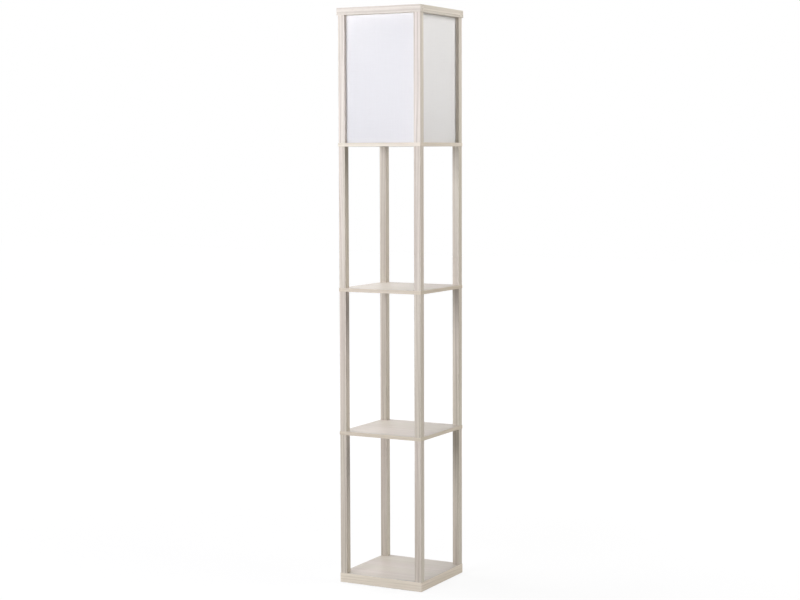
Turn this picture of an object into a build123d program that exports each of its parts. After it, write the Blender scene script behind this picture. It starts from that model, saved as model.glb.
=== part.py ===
from build123d import *
import math
import os

# Shelf floor lamp: a tower of four corner posts with a base, two shelves, a lamp deck, a shade of four
# panels and a square top frame. Millimetres. The origin is on the floor, under the centre of the base.
# +Z is up, -Y is the front, +X is the right-hand side.

# ---- Boards and posts ----
board_side = 256.0            # width and depth of the base, the shelves and the lamp deck
post_inset = 1.0              # how far the boards stand out past the posts' outer faces
post_side = 20.0              # section of every post
base_thickness = 26.0
shelf_thickness = 10.0        # lower shelf, upper shelf and lamp deck
bay_height = 391.0            # clear height of each of the three open bays
shade_height = 349.0          # clear height between the lamp deck and the top frame
top_frame_overhang = 2.0      # how far the top frame stands out past the boards
rail_height = 20.0            # height of the top rails
rail_width = 20.0             # width of the top rails, seen from above
post_round = 0.8              # rounding of the long edges of posts and rails
board_round = 0.5             # rounding of the boards' edges

# ---- Feet ----
foot_radius = 11.0
foot_thickness = 3.0
foot_pocket_depth = 1.0       # how deep each pad is let into the base
foot_inset = 44.0             # distance from the base's outer faces to a pad's centre
foot_clearance = 0.1          # radial clearance of a pad in its pocket

# ---- Studs, screws and threaded inserts in the posts ----
stud_radius = 3.0
stud_reach = 20.0             # how far a stud or screw reaches into a post
thread_clearance = 0.1        # radial clearance of a stud in an insert, and of an insert in its bore
hole_clearance = 0.3          # radial clearance of a stud or screw in a board or rail
tip_clearance = 2.0           # free depth beyond the end of a stud
stud_chamfer = 0.5
insert_radius = 4.5
insert_length = 14.0
screw_head_radius = 5.5       # countersunk heads of the base and top screws
head_clearance = 0.1          # depth of a countersunk head below the surface
countersink_angle = 90.0
driver_socket_radius = 1.9    # hexagon socket in a screw head
driver_socket_depth = 2.2

# ---- Dowels of the top frame ----
dowel_radius = 2.5
dowel_length = 30.0
dowel_offset = 5.0            # outwards from the middle of the side rail
dowel_share_in_rail = 0.5     # share of the dowel's length inside the front or back rail
dowel_clearance = 0.1
dowel_chamfer = 0.6

# ---- Shade panels ----
panel_thickness = 2.0
panel_setback = 10.0          # from the posts' outer faces to a panel's outer face
groove_depth = 5.0
groove_clearance = 0.2        # each side of a panel in its groove
panel_end_clearance = 0.6     # between a panel's edge and the bottom of its groove
panel_top_clearance = 1.0     # between a panel and the top frame

# ---- Cable hole in the lamp deck ----
cable_hole_setback = 30.0     # from the deck's back edge to the hole's centre
cable_bore_radius = 4.0
grommet_neck_radius = 7.0
grommet_flange_radius = 9.5
grommet_flange_height = 1.8
grommet_round = 0.8
grommet_clearance = 0.1

# ---- Lamp holder, on the middle of the deck ----
holder_flange_radius = 32.0
holder_flange_height = 6.0
holder_flange_round = 1.2
holder_shoulder_radius = 19.0
holder_shoulder_height = 14.0     # above the deck
holder_core_radius = 12.0
holder_core_height = 22.0         # above the deck: the screw shell stands on it
skirt_clearance = 0.1
skirt_wall = 2.2
skirt_height = 51.0               # top of the skirt above the deck
skirt_lip = 2.5                   # thickness of the skirt's inturned rim
skirt_mouth_radius = 15.4
grip_rib_count = 24               # moulded grip ribs round the skirt
grip_rib_radius = 0.7
shell_clearance = 0.3             # radial gap between the screw shell and the bulb's cap
shell_wall = 0.4
shell_height = 26.0
shell_floor_hole_radius = 8.0
shell_tab_height = 8.6            # how far the side contact runs up the shell
strip_thickness = 0.5             # brass contact strips
strip_width = 6.0
strip_relief = 0.1                # gap between a strip's upright and the core
strip_groove_depth = 1.5          # how deep the centre contact lies in the core's top
strip_groove_clearance = 0.2      # each side of the strip in its groove
tongue_rise = 3.0                 # height of the centre contact's tongue above the core
tongue_reach = 3.0                # how far the tongue runs past the middle
tongue_root = 5.0                 # where the tongue leaves the core, from the middle
terminal_screw_radius = 1.5
terminal_screw_circle = 15.6      # distance of the terminal screws from the middle
terminal_head_radius = 2.4
terminal_head_height = 1.6
terminal_screw_length = 8.0
holder_screw_radius = 1.75
holder_screw_circle = 26.2
holder_screw_head_radius = 3.4
holder_screw_head_height = 2.4
holder_screw_bite = 7.0           # depth of the holder's screws in the deck
pan_round_share = 0.4             # rounding of a pan head, as a share of its height
pan_slot_depth_share = 0.4        # depth of its slot, as a share of its height
pan_slot_width_share = 0.3        # width of its slot, as a share of its radius
cable_channel_width = 7.0
cable_channel_height = 4.5
cable_riser_radius = 3.0
cable_riser_offset = 7.5          # from the middle to the riser, towards the back

# ---- Bulb ----
thread_pitch = 25.4 / 7.0         # seven turns to the inch, as on the common large screw cap
unscrew_turns = 5.0               # turns from fully seated to free
contact_gap = 0.3                 # between the bulb's tip and the tongue
tip_radius = 4.6
tip_height = 2.0
tip_round = 0.8
tip_sunk = 1.0                    # how deep the tip is sunk in the insulator
insulator_radius = 10.5
insulator_height = 3.4
insulator_lip = 1.4               # height of the insulator's coned foot below the cap
turning_clearance = 0.06          # radial clearance of the insulator in the cap
cap_radius = 13.1
cap_wall = 0.5
cap_height = 22.0
cap_round = 1.6
housing_neck_radius = 14.0
housing_top_radius = 28.0
housing_wall = 1.6
housing_flare = 0.55              # share of the housing's height where it flares most
housing_foot_flare = 1.0          # how far the outline's lower handle stands out past the neck
housing_rim_flare = 1.5           # how far the upper handle stands in from the rim
bulb_length = 110.0               # from the tip to the top of the globe
globe_radius = 30.0
globe_wall = 1.2
globe_neck = 0.8                  # height of the globe's straight foot
led_board_thickness = 1.6
led_count = 14
led_circle = 17.0
led_length = 3.5
led_width = 2.8
led_height = 0.7
led_board_clearance = 0.1         # radial gap between the light board and the globe's foot
driver_board_thickness = 1.6
driver_board_width = 17.0
driver_board_height = 38.0
capacitor_radius = 4.0
capacitor_height = 12.0
capacitor_seat = 0.4              # how deep the capacitor's side sits in the board's face
coil_side = 9.0

# ---- Worked-out places ----
floor_clear = foot_thickness - foot_pocket_depth
base_top = floor_clear + base_thickness
lower_shelf_bottom = base_top + bay_height
lower_shelf_top = lower_shelf_bottom + shelf_thickness
upper_shelf_bottom = lower_shelf_top + bay_height
upper_shelf_top = upper_shelf_bottom + shelf_thickness
deck_bottom = upper_shelf_top + bay_height
deck_top = deck_bottom + shelf_thickness
rail_bottom = deck_top + shade_height
lamp_height = rail_bottom + rail_height

post_centre = board_side / 2 - post_inset - post_side / 2
post_outer_face = post_centre + post_side / 2
panel_centre = post_outer_face - panel_setback - panel_thickness / 2
frame_half = board_side / 2 + top_frame_overhang
rail_centre = frame_half - rail_width / 2
rail_middle_z = rail_bottom + rail_height / 2
insert_bore_radius = insert_radius + thread_clearance
stud_bore_radius = stud_radius + thread_clearance
post_bore_depth = stud_reach + tip_clearance
screw_hole_radius = stud_radius + hole_clearance

corners = {
    "front_left": (-1, -1),
    "front_right": (1, -1),
    "back_left": (-1, 1),
    "back_right": (1, 1),
}
post_places = [(sx * post_centre, sy * post_centre) for sx, sy in corners.values()]

os.makedirs("parts", exist_ok=True)
finished = []


def finish(name, piece):
    """Label one finished piece and write it to its own file."""
    piece.label = name
    export_step(piece, f"parts/{name}.step")
    finished.append(name)


# ---- Boards ----
def board(bottom, thickness):
    """A square board with softened edges, standing on the height `bottom`."""
    with BuildPart() as sheet:
        with BuildSketch(Plane.XY.offset(bottom)):
            Rectangle(board_side, board_side)
        extrude(amount=thickness)
        fillet(sheet.edges(), board_round)
    return sheet.part


def make_base_board():
    with BuildPart() as base:
        add(board(floor_clear, base_thickness))
        with BuildSketch(Plane.XY.offset(floor_clear)):
            foot_spacing = board_side - 2 * foot_inset
            with GridLocations(foot_spacing, foot_spacing, 2, 2):
                Circle(foot_radius + foot_clearance)
        extrude(amount=foot_pocket_depth, mode=Mode.SUBTRACT)
        underside = Plane(origin=(0, 0, floor_clear), z_dir=(0, 0, -1))
        with Locations(underside):
            with GridLocations(2 * post_centre, 2 * post_centre, 2, 2):
                CounterSinkHole(
                    radius=screw_hole_radius,
                    counter_sink_radius=screw_head_radius + hole_clearance,
                    depth=base_thickness,
                    counter_sink_angle=countersink_angle,
                )
    return base.part


def make_shelf(bottom):
    with BuildPart() as shelf:
        add(board(bottom, shelf_thickness))
        with Locations(Plane.XY.offset(bottom + shelf_thickness)):
            with GridLocations(2 * post_centre, 2 * post_centre, 2, 2):
                Hole(radius=screw_hole_radius, depth=shelf_thickness)
    return shelf.part


cable_hole_y = board_side / 2 - cable_hole_setback


def make_lamp_deck():
    with BuildPart() as deck:
        add(make_shelf(deck_bottom))
        with Locations(Plane.XY.offset(deck_top)):
            with Locations((0, cable_hole_y)):
                Hole(radius=grommet_neck_radius + grommet_clearance, depth=shelf_thickness)
            with PolarLocations(holder_screw_circle, 2):
                Hole(radius=holder_screw_radius + thread_clearance, depth=holder_screw_bite)
    return deck.part


# ---- Posts ----
def post(centre_x, centre_y, bottom, height):
    """A square post with a stepped bore in each end for an insert and the end of a stud."""
    with BuildPart() as stick:
        with BuildSketch(Plane.XY.offset(bottom)):
            with Locations((centre_x, centre_y)):
                Rectangle(post_side, post_side)
        extrude(amount=height)
        fillet(stick.edges().filter_by(Axis.Z), post_round)
        top_end = Plane(origin=(centre_x, centre_y, bottom + height), z_dir=(0, 0, 1))
        bottom_end = Plane(origin=(centre_x, centre_y, bottom), z_dir=(0, 0, -1))
        with Locations(top_end, bottom_end):
            CounterBoreHole(
                radius=stud_bore_radius,
                counter_bore_radius=insert_bore_radius,
                counter_bore_depth=insert_length,
                depth=post_bore_depth,
            )
    return stick.part


def shade_post(sign_x, sign_y):
    """A post with two grooves, one for each of the shade panels that meet at its corner."""
    centre_x = sign_x * post_centre
    centre_y = sign_y * post_centre
    groove_middle = post_centre - post_side / 2 + groove_depth / 2
    groove_width = panel_thickness + 2 * groove_clearance
    with BuildPart() as stick:
        add(post(centre_x, centre_y, deck_top, shade_height))
        with BuildSketch(Plane.XY.offset(deck_top)):
            with Locations((sign_x * groove_middle, sign_y * panel_centre)):
                Rectangle(groove_depth, groove_width)
            with Locations((sign_x * panel_centre, sign_y * groove_middle)):
                Rectangle(groove_width, groove_depth)
        extrude(amount=shade_height, mode=Mode.SUBTRACT)
    return stick.part


# ---- Fasteners ----
def post_inserts(bottom, height):
    """The threaded sleeves in both ends of the four posts of one tier."""
    with BuildPart() as sleeves:
        for sleeve_bottom in (bottom, bottom + height - insert_length):
            with BuildSketch(Plane.XY.offset(sleeve_bottom)):
                with Locations(*post_places):
                    Circle(insert_radius)
                    Circle(stud_bore_radius, mode=Mode.SUBTRACT)
            extrude(amount=insert_length)
    return sleeves.part


def shelf_studs(bottom):
    """The four double-ended studs that join the posts through one board."""
    with BuildPart() as studs:
        with BuildSketch(Plane.XY.offset(bottom - stud_reach)):
            with Locations(*post_places):
                Circle(stud_radius)
        extrude(amount=shelf_thickness + 2 * stud_reach)
        chamfer(studs.edges().filter_by(GeomType.CIRCLE), stud_chamfer)
    return studs.part


def countersunk_screw(head_plane, passed_thickness):
    """A countersunk screw whose head lies just under `head_plane`, reaching back against its normal."""
    shank_length = passed_thickness + stud_reach - head_clearance
    head_height = (screw_head_radius - stud_radius) / math.tan(math.radians(countersink_angle / 2))
    seat = head_plane.offset(-head_clearance)
    with BuildPart() as screw:
        with BuildSketch(seat):
            Circle(stud_radius)
        extrude(amount=-shank_length)
        with BuildSketch(seat):
            Circle(screw_head_radius)
        extrude(amount=-head_height, taper=countersink_angle / 2)
        with BuildSketch(seat):
            RegularPolygon(driver_socket_radius, 6)
        extrude(amount=-driver_socket_depth, mode=Mode.SUBTRACT)
    return screw.part


def corner_screws(height, facing, passed_thickness):
    """Four countersunk screws over the posts, their heads at one height and facing up or down."""
    screws = []
    for x, y in post_places:
        head_plane = Plane(origin=(x, y, height), z_dir=(0, 0, facing))
        screws.append(countersunk_screw(head_plane, passed_thickness))
    return Compound(children=screws)


# ---- Top frame ----
def make_long_rail(sign_y):
    """The front or back rail: it runs the full width and takes the top screws and the dowels."""
    inner_face_y = sign_y * (frame_half - rail_width)
    with BuildPart() as rail:
        with BuildSketch(Plane.XY.offset(rail_bottom)):
            with Locations((0, sign_y * rail_centre)):
                Rectangle(2 * frame_half, rail_width)
        extrude(amount=rail_height)
        fillet(rail.edges(), post_round)
        with Locations(Plane.XY.offset(lamp_height)):
            with Locations((-post_centre, sign_y * post_centre), (post_centre, sign_y * post_centre)):
                CounterSinkHole(
                    radius=screw_hole_radius,
                    counter_sink_radius=screw_head_radius + hole_clearance,
                    depth=rail_height,
                    counter_sink_angle=countersink_angle,
                )
        inner_face = Plane(origin=(0, inner_face_y, rail_middle_z), x_dir=(1, 0, 0), z_dir=(0, -sign_y, 0))
        dowel_x = rail_centre + dowel_offset
        with Locations(inner_face):
            with Locations((-dowel_x, 0), (dowel_x, 0)):
                Hole(
                    radius=dowel_radius + dowel_clearance,
                    depth=dowel_length * dowel_share_in_rail + dowel_clearance,
                )
    return rail.part


def make_side_rail(sign_x):
    """The left or right rail, between the front and back rails."""
    rail_length = 2 * (frame_half - rail_width)
    with BuildPart() as rail:
        with BuildSketch(Plane.XY.offset(rail_bottom)):
            with Locations((sign_x * rail_centre, 0)):
                Rectangle(rail_width, rail_length)
        extrude(amount=rail_height)
        fillet(rail.edges().filter_by(Axis.Y), post_round)
        dowel_x = sign_x * (rail_centre + dowel_offset)
        front_end = Plane(origin=(dowel_x, -rail_length / 2, rail_middle_z), z_dir=(0, -1, 0))
        back_end = Plane(origin=(dowel_x, rail_length / 2, rail_middle_z), z_dir=(0, 1, 0))
        with Locations(front_end, back_end):
            Hole(
                radius=dowel_radius + dowel_clearance,
                depth=dowel_length * (1 - dowel_share_in_rail) + dowel_clearance,
            )
    return rail.part


def make_rail_dowels():
    joint_y = frame_half - rail_width
    dowel_x = rail_centre + dowel_offset
    far_end_y = joint_y + dowel_length * dowel_share_in_rail
    dowels = []
    for sign_x, sign_y in corners.values():
        with BuildPart() as dowel:
            end = Plane(origin=(sign_x * dowel_x, sign_y * far_end_y, rail_middle_z), z_dir=(0, sign_y, 0))
            with BuildSketch(end):
                Circle(dowel_radius)
            extrude(amount=-dowel_length)
            chamfer(dowel.edges().filter_by(GeomType.CIRCLE), dowel_chamfer)
        dowels.append(dowel.part)
    return Compound(children=dowels)


# ---- Shade panels ----
def make_shade_panel(direction_x, direction_y):
    """One flat panel, facing along (direction_x, direction_y), with its side edges in two grooves."""
    clear_width = 2 * (post_centre - post_side / 2)
    panel_width = clear_width + 2 * (groove_depth - panel_end_clearance)
    panel_height = shade_height - panel_top_clearance
    width_x = panel_thickness if direction_x else panel_width
    width_y = panel_thickness if direction_y else panel_width
    with BuildPart() as panel:
        with BuildSketch(Plane.XY.offset(deck_top)):
            with Locations((direction_x * panel_centre, direction_y * panel_centre)):
                Rectangle(width_x, width_y)
        extrude(amount=panel_height)
    return panel.part


# ---- Feet and cable grommet ----
def make_foot_pads():
    with BuildPart() as pads:
        with BuildSketch(Plane.XY):
            foot_spacing = board_side - 2 * foot_inset
            with GridLocations(foot_spacing, foot_spacing, 2, 2):
                Circle(foot_radius)
        extrude(amount=foot_thickness)
    return pads.part


def make_cable_grommet():
    with BuildPart() as grommet:
        with BuildSketch(Plane.XY.offset(deck_bottom - grommet_flange_height)):
            with Locations((0, cable_hole_y)):
                Circle(grommet_flange_radius)
        extrude(amount=grommet_flange_height)
        with BuildSketch(Plane.XY.offset(deck_top)):
            with Locations((0, cable_hole_y)):
                Circle(grommet_flange_radius)
        extrude(amount=grommet_flange_height)
        outer_rims = grommet.edges().filter_by(GeomType.CIRCLE)
        rim_heights = outer_rims.group_by(Axis.Z)
        fillet(rim_heights[0] + rim_heights[-1], grommet_round)
        with BuildSketch(Plane.XY.offset(deck_bottom)):
            with Locations((0, cable_hole_y)):
                Circle(grommet_neck_radius)
        extrude(amount=shelf_thickness)
        with Locations(Plane.XY.offset(deck_top + grommet_flange_height)):
            with Locations((0, cable_hole_y)):
                Hole(radius=cable_bore_radius, depth=shelf_thickness + 2 * grommet_flange_height)
    return grommet.part


# ---- Lamp holder ----
def make_holder_base():
    with BuildPart() as base:
        with BuildSketch(Plane.XY.offset(deck_top)):
            Circle(holder_flange_radius)
        extrude(amount=holder_flange_height)
        flange_top = base.edges().filter_by(GeomType.CIRCLE).group_by(Axis.Z)[-1]
        fillet(flange_top, holder_flange_round)
        with BuildSketch(Plane.XY.offset(deck_top)):
            Circle(holder_shoulder_radius)
        extrude(amount=holder_shoulder_height)
        with BuildSketch(Plane.XY.offset(deck_top)):
            Circle(holder_core_radius)
        extrude(amount=holder_core_height)
        with Locations(Plane.XY.offset(deck_top + holder_flange_height)):
            with PolarLocations(holder_screw_circle, 2):
                CounterBoreHole(
                    radius=holder_screw_radius + hole_clearance,
                    counter_bore_radius=holder_screw_head_radius + hole_clearance,
                    counter_bore_depth=holder_screw_head_height,
                    depth=holder_flange_height,
                )
        with Locations(Plane.XY.offset(deck_top + holder_shoulder_height)):
            with PolarLocations(terminal_screw_circle, 2):
                Hole(
                    radius=terminal_screw_radius + thread_clearance,
                    depth=terminal_screw_length + thread_clearance,
                )
        with BuildSketch(Plane.XY.offset(deck_top + holder_core_height)):
            groove_width = strip_width + 2 * strip_groove_clearance
            Rectangle(holder_core_radius, groove_width, align=(Align.MAX, Align.CENTER))
        extrude(amount=-strip_groove_depth, mode=Mode.SUBTRACT)
        with BuildSketch(Plane.XY.offset(deck_top)):
            with Locations((0, cable_riser_offset)):
                Rectangle(cable_channel_width, 2 * holder_flange_radius, align=(Align.CENTER, Align.MIN))
        extrude(amount=cable_channel_height, mode=Mode.SUBTRACT)
        with Locations(Plane.XY.offset(deck_top + holder_core_height)):
            with Locations((0, cable_riser_offset)):
                Hole(radius=cable_riser_radius, depth=holder_core_height)
    return base.part


skirt_inner_radius = holder_shoulder_radius + skirt_clearance
skirt_outer_radius = skirt_inner_radius + skirt_wall


def make_holder_skirt():
    skirt_bottom = deck_top + holder_flange_height
    skirt_top = deck_top + skirt_height
    with BuildPart() as skirt:
        with BuildSketch(Plane.XY.offset(skirt_bottom)):
            Circle(skirt_outer_radius)
            with PolarLocations(skirt_outer_radius, grip_rib_count):
                Circle(grip_rib_radius)
        extrude(amount=skirt_top - skirt_bottom)
        with BuildSketch(Plane.XY.offset(skirt_bottom)):
            Circle(skirt_inner_radius)
        extrude(amount=skirt_top - skirt_bottom - skirt_lip, mode=Mode.SUBTRACT)
        with BuildSketch(Plane.XY.offset(skirt_bottom)):
            Circle(skirt_mouth_radius)
        extrude(amount=skirt_top - skirt_bottom, mode=Mode.SUBTRACT)
    return skirt.part


shell_bottom = deck_top + holder_core_height
shell_inner_radius = cap_radius + shell_clearance
shell_outer_radius = shell_inner_radius + shell_wall


def make_screw_shell():
    with BuildPart() as shell:
        with BuildSketch(Plane.XY.offset(shell_bottom)):
            Circle(shell_outer_radius)
        extrude(amount=shell_height)
        with BuildSketch(Plane.XY.offset(shell_bottom + shell_wall)):
            Circle(shell_inner_radius)
        extrude(amount=shell_height, mode=Mode.SUBTRACT)
        with BuildSketch(Plane.XY.offset(shell_bottom)):
            Circle(shell_floor_hole_radius)
        extrude(amount=shell_wall, mode=Mode.SUBTRACT)
    return shell.part


shoulder_z = deck_top + holder_shoulder_height
core_top_z = deck_top + holder_core_height
tongue_top_z = core_top_z + tongue_rise + strip_thickness
strip_foot_end = terminal_screw_circle + terminal_head_radius
strip_inner_x = holder_core_radius + strip_relief
strip_outer_x = strip_inner_x + strip_thickness


def terminal_hole(x):
    """Cut the terminal screw's hole through the foot of the strip being made."""
    with Locations(Plane.XY.offset(shoulder_z + strip_thickness)):
        with Locations((x, 0)):
            Hole(radius=terminal_screw_radius + thread_clearance, depth=strip_thickness)


def make_centre_contact():
    """A bent brass strip: foot under the left screw, up the core's groove and a springy tongue."""
    run_z = core_top_z - strip_groove_depth
    bend_z = run_z + strip_thickness
    with BuildPart() as strip:
        with BuildSketch(Plane.XZ.offset(-strip_width / 2)):
            with BuildLine():
                Polyline(
                    (-strip_foot_end, shoulder_z),
                    (-strip_inner_x, shoulder_z),
                    (-strip_inner_x, run_z),
                    (-tongue_root, run_z),
                    (0, core_top_z + tongue_rise),
                    (tongue_reach, core_top_z + tongue_rise),
                    (tongue_reach, tongue_top_z),
                    (0, tongue_top_z),
                    (-tongue_root, bend_z),
                    (-strip_outer_x, bend_z),
                    (-strip_outer_x, shoulder_z + strip_thickness),
                    (-strip_foot_end, shoulder_z + strip_thickness),
                    close=True,
                )
            make_face()
        extrude(amount=strip_width)
        terminal_hole(-terminal_screw_circle)
    return strip.part


def make_shell_contact():
    """The strip that joins the right screw to the side of the screw shell."""
    tab_x = shell_outer_radius
    tab_top_z = shell_bottom + shell_tab_height
    with BuildPart() as strip:
        with BuildSketch(Plane.XZ.offset(-strip_width / 2)):
            with BuildLine():
                Polyline(
                    (strip_foot_end, shoulder_z),
                    (strip_inner_x, shoulder_z),
                    (strip_inner_x, shell_bottom),
                    (tab_x, shell_bottom),
                    (tab_x, tab_top_z),
                    (tab_x + strip_thickness, tab_top_z),
                    (tab_x + strip_thickness, shell_bottom - strip_thickness),
                    (strip_outer_x, shell_bottom - strip_thickness),
                    (strip_outer_x, shoulder_z + strip_thickness),
                    (strip_foot_end, shoulder_z + strip_thickness),
                    close=True,
                )
            make_face()
        extrude(amount=strip_width)
        terminal_hole(terminal_screw_circle)
    return strip.part


def pan_head_screws(circle, seat_z, radius, length, head_radius, head_height):
    """Two slotted pan-head screws on the X axis, their heads standing on the height `seat_z`."""
    screws = []
    for x in (-circle, circle):
        with BuildPart() as screw:
            with BuildSketch(Plane.XY.offset(seat_z)):
                with Locations((x, 0)):
                    Circle(radius)
            extrude(amount=-length)
            with BuildSketch(Plane.XY.offset(seat_z)):
                with Locations((x, 0)):
                    Circle(head_radius)
            extrude(amount=head_height)
            fillet(screw.edges().group_by(Axis.Z)[-1], head_height * pan_round_share)
            with BuildSketch(Plane.XY.offset(seat_z + head_height)):
                with Locations((x, 0)):
                    Rectangle(2 * head_radius, head_radius * pan_slot_width_share)
            extrude(amount=-head_height * pan_slot_depth_share, mode=Mode.SUBTRACT)
        screws.append(screw.part)
    return Compound(children=screws)


# ---- Bulb ----
tip_bottom = tongue_top_z + contact_gap
tip_top = tip_bottom + tip_height
insulator_bottom = tip_top - tip_sunk
insulator_top = insulator_bottom + insulator_height
cap_bottom = insulator_bottom + insulator_lip
cap_top = cap_bottom + cap_height
bulb_top = tip_bottom + bulb_length
globe_centre_z = bulb_top - globe_radius
globe_shoulder_z = globe_centre_z - math.sqrt(globe_radius**2 - housing_top_radius**2)
housing_top = globe_shoulder_z - globe_neck


def turned(points):
    """Turn a closed (radius, height) outline about the bulb's axis."""
    with BuildPart() as solid:
        with BuildSketch(Plane.XZ):
            with BuildLine():
                Polyline(*points, close=True)
            make_face()
        revolve(axis=Axis.Z)
    return solid.part


def make_bulb_tip():
    with BuildPart() as tip:
        with BuildSketch(Plane.XY.offset(tip_bottom)):
            Circle(tip_radius)
        extrude(amount=tip_height)
        fillet(tip.edges().group_by(Axis.Z)[0], tip_round)
    return tip.part


def make_bulb_insulator():
    """The black glass disc between the tip and the cap, cupped round the tip."""
    lower_radius = tip_radius + turning_clearance
    return turned([
        (lower_radius, insulator_bottom),
        (insulator_radius, cap_bottom),
        (insulator_radius, insulator_top),
        (0, insulator_top),
        (0, tip_top),
        (lower_radius, tip_top),
    ])


def make_bulb_cap():
    """The plated screw cap: a thin cup with a hole for the insulator."""
    hole_radius = insulator_radius + turning_clearance
    inner_radius = cap_radius - cap_wall
    floor_top = insulator_top + cap_wall
    return turned([
        (hole_radius, cap_bottom),
        (cap_radius - cap_round, cap_bottom),
        (cap_radius, cap_bottom + cap_round),
        (cap_radius, cap_top),
        (inner_radius, cap_top),
        (inner_radius, floor_top),
        (hole_radius, floor_top),
    ])


def make_bulb_housing():
    """The plastic body of the bulb: a flared cup that opens upwards under the globe."""
    low_handle_z = cap_top + (housing_top - cap_top) * (1 - housing_flare)
    high_handle_z = cap_top + (housing_top - cap_top) * housing_flare
    low_handle_radius = housing_neck_radius + housing_foot_flare
    high_handle_radius = housing_top_radius - housing_rim_flare
    outer_foot = (housing_neck_radius, cap_top)
    outer_rim = (housing_top_radius, housing_top)
    inner_rim = (housing_top_radius - housing_wall, housing_top)
    inner_foot = (housing_neck_radius - housing_wall, cap_top)
    with BuildPart() as housing:
        with BuildSketch(Plane.XZ):
            with BuildLine():
                Bezier(
                    outer_foot,
                    (low_handle_radius, low_handle_z),
                    (high_handle_radius, high_handle_z),
                    outer_rim,
                )
                Line(outer_rim, inner_rim)
                Bezier(
                    inner_rim,
                    (high_handle_radius - housing_wall, high_handle_z),
                    (low_handle_radius - housing_wall, low_handle_z),
                    inner_foot,
                )
                Line(inner_foot, outer_foot)
            make_face()
        revolve(axis=Axis.Z)
    return housing.part


led_board_top = housing_top + led_board_thickness


def make_led_board():
    """A round aluminium board that lies on the housing's rim, with a ring of light sources."""
    with BuildPart() as light_board:
        with BuildSketch(Plane.XY.offset(housing_top)):
            Circle(housing_top_radius - globe_wall - led_board_clearance)
        extrude(amount=led_board_thickness)
        with BuildSketch(Plane.XY.offset(led_board_top)):
            with PolarLocations(led_circle, led_count):
                Rectangle(led_length, led_width)
        extrude(amount=led_height)
    return light_board.part


def make_bulb_globe():
    """The opal globe: a thin shell with a straight open foot on the housing's rim."""
    inner_radius = globe_radius - globe_wall
    inner_foot_radius = housing_top_radius - globe_wall
    inner_shoulder_z = globe_centre_z - math.sqrt(inner_radius**2 - inner_foot_radius**2)
    outer_shoulder = (housing_top_radius, globe_shoulder_z)
    inner_shoulder = (inner_foot_radius, inner_shoulder_z)
    with BuildPart() as globe:
        with BuildSketch(Plane.XZ):
            with BuildLine():
                Line((inner_foot_radius, housing_top), (housing_top_radius, housing_top))
                Line((housing_top_radius, housing_top), outer_shoulder)
                ThreePointArc(outer_shoulder, (globe_radius, globe_centre_z), (0, bulb_top))
                Line((0, bulb_top), (0, bulb_top - globe_wall))
                ThreePointArc((0, bulb_top - globe_wall), (inner_radius, globe_centre_z), inner_shoulder)
                Line(inner_shoulder, (inner_foot_radius, housing_top))
            make_face()
        revolve(axis=Axis.Z)
    return globe.part


def make_driver_board():
    """The upright circuit board inside the housing, hung from the light board."""
    board_bottom = housing_top - driver_board_height
    face_x = driver_board_thickness / 2
    with BuildPart() as driver:
        with BuildSketch(Plane.XY.offset(board_bottom)):
            Rectangle(driver_board_thickness, driver_board_width)
        extrude(amount=driver_board_height)
        capacitor_bottom = board_bottom + driver_board_height / 2
        with BuildSketch(Plane.XY.offset(capacitor_bottom)):
            with Locations((face_x + capacitor_radius - capacitor_seat, 0)):
                Circle(capacitor_radius)
        extrude(amount=capacitor_height)
        with BuildSketch(Plane.XY.offset(capacitor_bottom)):
            with Locations((-face_x - coil_side / 2, 0)):
                Rectangle(coil_side, coil_side)
        extrude(amount=coil_side)
    return driver.part


# ---- Make every piece ----
finish("base_board", make_base_board())
finish("lower_shelf", make_shelf(lower_shelf_bottom))
finish("upper_shelf", make_shelf(upper_shelf_bottom))
finish("lamp_deck", make_lamp_deck())
finish("foot_pads", make_foot_pads())

for tier, tier_bottom in (
    ("lower", base_top),
    ("middle", lower_shelf_top),
    ("upper", upper_shelf_top),
):
    for corner, (sign_x, sign_y) in corners.items():
        tier_post = post(sign_x * post_centre, sign_y * post_centre, tier_bottom, bay_height)
        finish(f"{tier}_post_{corner}", tier_post)
    finish(f"{tier}_post_inserts", post_inserts(tier_bottom, bay_height))

for corner, (sign_x, sign_y) in corners.items():
    finish(f"shade_post_{corner}", shade_post(sign_x, sign_y))
finish("shade_post_inserts", post_inserts(deck_top, shade_height))

finish("lower_shelf_studs", shelf_studs(lower_shelf_bottom))
finish("upper_shelf_studs", shelf_studs(upper_shelf_bottom))
finish("deck_studs", shelf_studs(deck_bottom))
finish("base_screws", corner_screws(floor_clear, -1, base_thickness))
finish("top_screws", corner_screws(lamp_height, 1, rail_height))

finish("top_rail_front", make_long_rail(-1))
finish("top_rail_back", make_long_rail(1))
finish("top_rail_left", make_side_rail(-1))
finish("top_rail_right", make_side_rail(1))
finish("rail_dowels", make_rail_dowels())

finish("shade_panel_front", make_shade_panel(0, -1))
finish("shade_panel_back", make_shade_panel(0, 1))
finish("shade_panel_left", make_shade_panel(-1, 0))
finish("shade_panel_right", make_shade_panel(1, 0))

finish("cable_grommet", make_cable_grommet())
finish("holder_base", make_holder_base())
finish("holder_skirt", make_holder_skirt())
finish("screw_shell", make_screw_shell())
finish("centre_contact", make_centre_contact())
finish("shell_contact", make_shell_contact())
finish(
    "terminal_screws",
    pan_head_screws(
        terminal_screw_circle,
        shoulder_z + strip_thickness,
        terminal_screw_radius,
        terminal_screw_length,
        terminal_head_radius,
        terminal_head_height,
    ),
)
holder_screw_seat = deck_top + holder_flange_height - holder_screw_head_height
finish(
    "holder_screws",
    pan_head_screws(
        holder_screw_circle,
        holder_screw_seat,
        holder_screw_radius,
        holder_screw_seat - deck_top + holder_screw_bite - thread_clearance,
        holder_screw_head_radius,
        holder_screw_head_height,
    ),
)

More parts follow.
